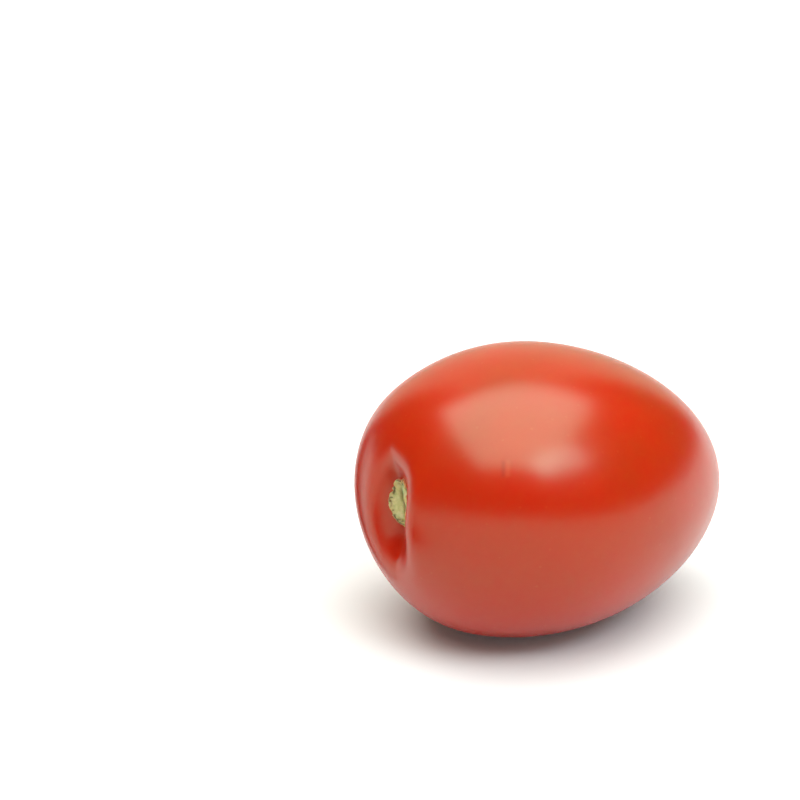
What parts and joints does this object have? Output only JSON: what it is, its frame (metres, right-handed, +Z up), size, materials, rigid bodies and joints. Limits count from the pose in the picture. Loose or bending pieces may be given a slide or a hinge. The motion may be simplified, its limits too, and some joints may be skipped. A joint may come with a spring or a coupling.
{
  "type": "plum tomato",
  "caption": "Ripe plum tomato picked without its stalk, lying on its side on a small flat spot, with a hollow and dry scar at the stem end.",
  "frame": {"origin": "on the table under the middle of the fruit's length and width", "axes": "+X along the fruit from the stem end to the blossom end, level with the table; +Y across it; +Z up"},
  "size_m": [0.0674, 0.054, 0.0493],
  "materials": {
    "skin": "satin"
  },
  "bodies": {
    "root": {"tomato": "skin"}
  },
  "joints": []
}
